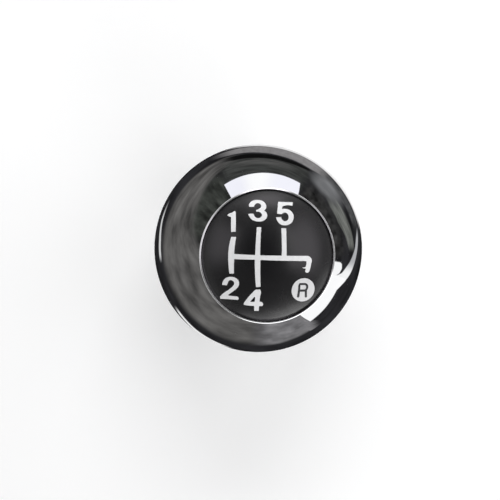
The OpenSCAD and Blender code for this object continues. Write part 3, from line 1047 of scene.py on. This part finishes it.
def panel(name, layer, stations, color, value, soft=((0, 0), (0, 0)), streaks=(0.0, 1.0, 1.0),
          place=mirrored_point):
    """Adds a curved studio panel between stations of (angle in degrees, first share, last share).
    Its place turns an angle, a share and the layer into a point. Its soft edges are the shares of the
    panel that fade at its start and end and at its first and last share, and its streaks are
    (strength, scale along, scale across)."""
    bm = bmesh.new()
    uv_layer = bm.loops.layers.uv.new("place")
    columns = []
    first, last = stations[0][0], stations[-1][0]
    for a, b in zip(stations, stations[1:]):
        steps = max(1, round(abs(b[0] - a[0]) / PANEL_TURN))
        columns += [[u + (w - u) * i / steps for u, w in zip(a, b)] for i in range(steps)]
    columns.append(list(stations[-1]))
    grid = []
    for turn, outer, inner in columns:
        across = (turn - first) / (last - first)
        column = []
        for k in range(PANEL_ROWS + 1):
            share = outer + (inner - outer) * k / PANEL_ROWS
            column.append((bm.verts.new(place(math.radians(turn), share, layer)), (across, k / PANEL_ROWS)))
        grid.append(column)
    for i in range(len(columns) - 1):
        for k in range(PANEL_ROWS):
            corners = [grid[i][k], grid[i + 1][k], grid[i + 1][k + 1], grid[i][k + 1]]
            face = bm.faces.new([vert for vert, _ in corners])
            for loop, (_, uv) in zip(face.loops, corners):
                loop[uv_layer].uv = uv
    mesh = bpy.data.meshes.new(name)
    bm.to_mesh(mesh)
    bm.free()
    mesh.materials.append(panel_glow(name + "_glow", color, value, soft, streaks))
    card = bpy.data.objects.new(name, mesh)
    bpy.context.scene.collection.objects.link(card)
    card.visible_camera = False
    card.visible_diffuse = False
    card.visible_shadow = False


def floor_finish():
    """Material of the floor: lifted where it is seen, more so far away, and clear from below."""
    material = bpy.data.materials.new("pale_floor")
    material.use_nodes = True
    tree = material.node_tree
    shader = tree.nodes["Principled BSDF"]
    shader.inputs["Base Color"].default_value = (*studio().floor, 1)
    shader.inputs["Roughness"].default_value = 0.9
    shader.inputs["Specular IOR Level"].default_value = 0.2
    shader.inputs["Emission Color"].default_value = (1, 1, 1, 1)
    path = add_node(tree, "LightPath").outputs
    seen = add_node(tree, "Math", {0: path["Is Camera Ray"], 1: path["Is Glossy Ray"]}, operation="MAXIMUM")
    seen_through = add_node(tree, "Math", {0: seen.outputs[0], 1: path["Is Transmission Ray"]},
                            operation="MAXIMUM")
    lift = add_node(tree, "Math", {0: seen_through.outputs[0], 1: studio().floor_lift},
                    operation="MULTIPLY")
    coordinates = add_node(tree, "TexCoord")
    away = add_node(tree, "VectorMath", {0: coordinates.outputs["Object"]}, operation="LENGTH")
    far = add_node(tree, "MapRange", {
        "Value": away.outputs["Value"], "From Min": FLOOR_NEAR, "From Max": FLOOR_FAR,
        "To Min": 1.0, "To Max": FLOOR_FAR_LIFT})
    spread = add_node(tree, "Math", {0: lift.outputs[0], 1: far.outputs["Result"]}, operation="MULTIPLY")
    tree.links.new(spread.outputs[0], shader.inputs["Emission Strength"])
    side = add_node(tree, "NewGeometry")
    clear = add_node(tree, "BsdfTransparent")
    mix = add_node(tree, "MixShader", {
        "Fac": side.outputs["Backfacing"], 1: shader.outputs["BSDF"], 2: clear.outputs["BSDF"]})
    tree.links.new(mix.outputs["Shader"], tree.nodes["Material Output"].inputs["Surface"])
    return material


class GEARKNOB_OT_studio(bpy.types.Operator):
    """Sets the floor, the reflector panels, the lamps, the world and the camera"""

    bl_idname = "gear_knob.studio"
    bl_label = "Studio"

    def execute(self, context):
        self.add_floor()
        self.add_left_panels()
        self.add_right_panels()
        self.add_top_panels()
        self.add_low_panels()
        self.add_ring()
        self.add_lamps()
        self.add_world(context.scene)
        self.add_camera(context.scene)
        context.scene.view_settings.view_transform = "Standard"
        return {"FINISHED"}

    def add_floor(self):
        """Wide pale floor that takes the knob's shadow."""
        bm = bmesh.new()
        bmesh.ops.create_circle(bm, cap_ends=True, segments=FLOOR_SIDES, radius=FLOOR_RADIUS)
        mesh = bpy.data.meshes.new("studio_floor")
        bm.to_mesh(mesh)
        bm.free()
        mesh.materials.append(floor_finish())
        floor = bpy.data.objects.new("studio_floor", mesh)
        floor.location.z = -FLOOR_DROP
        floor.visible_diffuse = False
        floor.visible_shadow = False
        bpy.context.scene.collection.objects.link(floor)

    def add_left_panels(self):
        """Dark wall all round, and the paler fields and rim lights on its left."""
        panel("dark_wall", 0, [(-180, 1.0, 0.45), (180, 1.0, 0.45)], DUSK, 0.022, streaks=(0.6, 14.0, 9.0))
        panel("left_room", 1, [(110, 0.88, 0.45), (150, 0.84, 0.45), (186, 0.84, 0.45)],
              MOSS, 0.05, soft=((0.15, 0.3), (0.3, 0.0)), streaks=(0.8, 9.0, 2.0))
        panel("left_field", 2, [(96, 0.935, 0.885), (120, 0.935, 0.80), (140, 0.935, 0.70),
                                (160, 0.935, 0.63), (176, 0.94, 0.54), (195, 0.94, 0.45),
                                (262, 0.95, 0.45), (278, 0.96, 0.45)],
              SAND, 0.125, soft=((0.15, 0.1), (0.12, 0.3)), streaks=(0.55, 7.0, 5.0))
        panel("left_rim_streak", 3, [(150, 0.978, 0.966), (164, 0.972, 0.955), (175, 0.962, 0.937),
                                     (189, 0.957, 0.932)],
              WHITE, 0.75, soft=((0.35, 0.15), (0.3, 0.3)))
        panel("low_left_rim", 3, [(214, 0.985, 0.965), (232, 1.0, 0.982), (257, 1.0, 0.99)],
              WHITE, 0.95, soft=((0.15, 0.2), (0.1, 0.3)))

    def add_right_panels(self):
        """Grey and olive fields on the wall's right."""
        panel("right_room", 1, [(-8, 0.88, 0.5), (20, 0.84, 0.5), (54, 0.84, 0.5)],
              SHELL, 0.036, soft=((0.1, 0.1), (0.3, 0.0)), streaks=(0.8, 9.0, 5.0))
        panel("right_low_band", 1, [(8, 0.982, 0.93), (22, 0.98, 0.925), (34, 0.98, 0.91),
                                    (52, 0.98, 0.90)],
              COOL, 0.085, soft=((0.25, 0.1), (0.1, 0.3)), streaks=(0.35, 9.0, 2.0))
        panel("right_slant", 2, [(-3, 0.93, 0.875), (8, 0.922, 0.84), (18, 0.91, 0.797), (30, 0.90, 0.79),
                                 (40, 0.90, 0.81)],
              OLIVE, 0.18, soft=((0.15, 0.35), (0.2, 0.2)), streaks=(0.5, 3.0, 8.0))
        panel("right_grey_field", 3, [(22, 0.93, 0.85), (30, 0.955, 0.81), (42, 0.968, 0.785),
                                      (52, 0.955, 0.80), (58, 0.93, 0.84)],
              COOL, 0.225, soft=((0.5, 0.35), (0.3, 0.4)), streaks=(0.2, 2.0, 3.0))

    def add_top_panels(self):
        """Dim fields, the dark band, the rim lights and the white window at the top."""
        panel("top_room", 1, [(50, 0.90, 0.68), (75, 0.90, 0.68), (118, 0.90, 0.66)],
              LEAF, 0.055, soft=((0.15, 0.1), (0.1, 0.0)), streaks=(0.45, 4.0, 9.0))
        panel("top_room_band", 2, [(60, 0.868, 0.80), (90, 0.864, 0.79), (114, 0.855, 0.80)],
              CREAM, 0.095, soft=((0.3, 0.3), (0.15, 0.5)), streaks=(0.3, 3.0, 6.0))
        panel("top_black", 3, [(54, 0.907, 0.899), (62, 0.906, 0.879), (72, 0.906, 0.869),
                               (90, 0.912, 0.867), (106, 0.92, 0.875), (116, 0.925, 0.90)],
              WHITE, 0.006, soft=((0.06, 0.2), (0.12, 0.15)))
        panel("top_rim_grey", 4, [(43, 0.98, 0.935), (57, 0.98, 0.91), (75, 0.98, 0.912), (90, 0.98, 0.92),
                                  (108, 0.98, 0.935), (120, 0.98, 0.955)],
              BLUSH, 0.27, soft=((0.15, 0.25), (0.03, 0.12)), streaks=(0.14, 30.0, 3.0))
        panel("top_edge", 5, [(9, 1.0, 0.986), (40, 1.0, 0.981), (80, 1.0, 0.979), (100, 1.0, 0.984),
                              (112, 1.0, 0.992)],
              WHITE, 0.85, soft=((0.1, 0.2), (0.0, 0.3)))
        panel("top_white_panel", 4, [(53.2, 0.645, 0.45), (57.2, 0.748, 0.45), (72, 0.742, 0.45),
                                     (88, 0.730, 0.45), (104, 0.713, 0.45), (118.3, 0.696, 0.45)],
              WINDOW_BLUE, 1.2, soft=((0.0, 0.006), (0.02, 0.0)))
        panel("top_white_core", 5, [(72, 0.742, 0.45), (88, 0.730, 0.45), (108, 0.708, 0.45)],
              WHITE, 1.24, soft=((0.45, 0.4), (0.03, 0.0)))

    def add_low_panels(self):
        """Grey field at the bottom and the white window with its streak and spark at the lower right."""
        panel("bottom_field", 3, [(-97, 0.945, 0.5), (-78, 0.948, 0.5), (-58.5, 0.946, 0.5),
                                  (-57.5, 0.946, 0.75), (-54, 0.946, 0.85), (-49, 0.945, 0.91)],
              MAUVE, 0.22, soft=((0.35, 0.17), (0.06, 0.0)), streaks=(0.4, 4.0, 7.0))
        panel("low_right_panel", 4, [(-57.8, 0.765, 0.5), (-54.5, 0.868, 0.5), (-42, 0.867, 0.5),
                                     (-28, 0.859, 0.5), (-24.5, 0.877, 0.5), (-21, 0.897, 0.5),
                                     (-18.8, 0.905, 0.5)],
              WHITE, 1.2, soft=((0.0, 0.0), (0.02, 0.0)))
        streak_start = [(-19.2, 0.905, 0.79), (-16.5, 0.918, 0.836), (-13, 0.93, 0.858)]
        panel("right_streak", 5, streak_start + [(-9, 0.94, 0.886), (-4, 0.95, 0.912), (0, 0.957, 0.93),
                                                 (6, 0.967, 0.945), (13, 0.981, 0.966)],
              COOL, 0.52, soft=((0.0, 0.25), (0.1, 0.18)))
        panel("right_streak_start", 6, streak_start + [(-7, 0.943, 0.896)],
              WHITE, 1.1, soft=((0.0, 0.75), (0.08, 0.12)))
        panel("right_spark", 7, [(-19.6, 0.79, 0.74), (-17.2, 0.82, 0.74), (-13.5, 0.832, 0.74),
                                 (-10.8, 0.822, 0.74), (-9.3, 0.80, 0.74)],
              WHITE, 1.15, soft=((0.0, 0.08), (0.06, 0.0)))

    def add_ring(self):
        """Pale ring above the wall, the glow panels that the disc mirrors and the lights of the lip."""
        panel("dim_ring", 0, [(-180, 0.0, 1.0), (180, 0.0, 1.0)], WHITE, 0.14, place=ring_point)
        panel("pale_ring", 1, [(-180, 0.12, 0.9), (180, 0.12, 0.9)], WHITE, 0.22,
              soft=((0.0, 0.0), (0.12, 0.3)), place=ring_point)
        for layer, name, start, end, low, high, value, soft in (
                (2, "right_glow", -38, 60, 0.04, 1.5, 1.45, ((0.3, 0.35), (0.25, 0.3))),
                (2, "left_glow", 131, 207, 0.14, 1.4, 1.15, ((0.35, 0.35), (0.25, 0.3))),
                (3, "top_glow", 60, 118, 0.15, 0.51, 2.5, ((0.25, 0.35), (0.1, 0.15))),
                (8, "low_glow", -110, -38, -0.17, 0.06, 1.35, ((0.3, 0.3), (0.1, 0.5)))):
            panel(name, layer, [(start, low, high), (end, low, high)], ROSE, value, soft, place=ring_point)
        for layer, name, start, end, reach, value, soft in (
                (9, "lip_light", -180, 180, 0.035, 1.25, (0.0, 0.0)),
                (10, "low_lip_light", -112, -8, 0.06, 2.4, (0.12, 0.08)),
                (10, "top_lip_light", 48, 123, 0.05, 1.4, (0.05, 0.05))):
            stations = []
            for bearing in range(start, end + 1, LIP_LIGHT_TURN):
                middle = lip_share(math.radians(bearing), layer)
                stations.append((bearing, middle - reach, middle + reach))
            panel(name, layer, stations, WHITE, value, (soft, (0.2, 0.2)), place=ring_point)

    def add_lamps(self):
        """Lamps that light the white marks: one at the top, a low one at the bottom, and weaker high ones
        at the sides."""
        stage = studio()
        for name, bearing, elevation, size, energy in (
                ("key_lamp", 90, 38, (0.30, 0.10), stage.key_light),
                ("fill_lamp", -64, 11, (0.24, 0.055), stage.fill_light),
                ("right_lamp", 14, 50, (0.32, 0.26), stage.right_light),
                ("left_lamp", 165, 48, (0.24, 0.22), stage.left_light)):
            lamp = bpy.data.lights.new(name, "AREA")
            lamp.shape = "RECTANGLE"
            lamp.size, lamp.size_y = size
            lamp.energy = energy
            holder = bpy.data.objects.new(name, lamp)
            turn, rise = math.radians(bearing), math.radians(elevation)
            aim = Vector((math.cos(turn) * math.cos(rise), math.sin(turn) * math.cos(rise), math.sin(rise)))
            holder.location = Vector((0, 0, levels()["middle"])) + aim * LAMP_DISTANCE
            holder.rotation_euler = aim.to_track_quat("Z", "Y").to_euler()
            holder.visible_camera = False
            bpy.context.scene.collection.objects.link(holder)

    def add_world(self, scene):
        """Surroundings, pale at the horizon and dark straight above."""
        world = bpy.data.worlds.new("studio_world")
        world.use_nodes = True
        tree = world.node_tree
        coordinates = add_node(tree, "TexCoord")
        split = add_node(tree, "SeparateXYZ", {"Vector": coordinates.outputs["Generated"]})
        ramp = add_node(tree, "ValToRGB", {"Fac": split.outputs["Z"]})
        elements = ramp.color_ramp.elements
        for height, _ in WORLD_TONES[1:-1]:
            elements.new(height)
        for element, (height, value) in zip(elements, WORLD_TONES):
            element.position = height
            element.color = (value, value, value * WORLD_BLUE, 1)
        tree.links.new(ramp.outputs["Color"], tree.nodes["Background"].inputs["Color"])
        scene.world = world

    def add_camera(self, scene):
        """Camera at the photograph's viewing angle."""
        stage = studio()
        toward, right, up = view_axes()
        camera = bpy.data.cameras.new("photo_camera")
        camera.lens = stage.lens
        camera.sensor_width = 36.0
        camera.shift_x = stage.shift_x
        camera.shift_y = stage.shift_y
        camera.clip_start = 0.01
        holder = bpy.data.objects.new("photo_camera", camera)
        spin = Matrix((right, up, toward)).transposed().to_4x4()
        spot = Vector((0, 0, levels()["middle"])) + toward * stage.camera_distance
        holder.matrix_world = Matrix.Translation(spot) @ spin
        scene.collection.objects.link(holder)
        scene.camera = holder


class GEARKNOB_PT_looks(bpy.types.Panel):
    """Sidebar panel that lists the knob's pieces"""

    bl_idname = "GEARKNOB_PT_looks"
    bl_label = "Gear Knob"
    bl_space_type = "VIEW_3D"
    bl_region_type = "UI"
    bl_category = "Gear Knob"

    def draw(self, context):
        for operator in OPERATORS:
            self.layout.operator(operator.bl_idname)
        for group in ("knob_shape", "knob_marks", "knob_finish", "knob_studio"):
            box = self.layout.box()
            settings = getattr(context.scene, group)
            for name in settings.__annotations__:
                box.prop(settings, name)


OPERATORS = (
    GEARKNOB_OT_chrome_ball,
    GEARKNOB_OT_black_disc,
    GEARKNOB_OT_gate_filling,
    GEARKNOB_OT_gear_numbers,
    GEARKNOB_OT_collar_ring,
    GEARKNOB_OT_inner_fittings,
    GEARKNOB_OT_studio,
)
CLASSES = (KnobShape, KnobMarks, KnobFinish, KnobStudio) + OPERATORS + (GEARKNOB_PT_looks,)


def register():
    for cls in CLASSES:
        bpy.utils.register_class(cls)
    bpy.types.Scene.knob_shape = PointerProperty(type=KnobShape)
    bpy.types.Scene.knob_marks = PointerProperty(type=KnobMarks)
    bpy.types.Scene.knob_finish = PointerProperty(type=KnobFinish)
    bpy.types.Scene.knob_studio = PointerProperty(type=KnobStudio)


def unregister():
    del bpy.types.Scene.knob_studio
    del bpy.types.Scene.knob_finish
    del bpy.types.Scene.knob_marks
    del bpy.types.Scene.knob_shape
    for cls in reversed(CLASSES):
        bpy.utils.unregister_class(cls)


def main():
    register()
    bpy.ops.gear_knob.chrome_ball()
    bpy.ops.gear_knob.black_disc()
    bpy.ops.gear_knob.gate_filling()
    bpy.ops.gear_knob.gear_numbers()
    bpy.ops.gear_knob.collar_ring()
    bpy.ops.gear_knob.inner_fittings()
    bpy.ops.gear_knob.studio()
    bpy.context.view_layer.update()


if __name__ == "__main__":
    main()
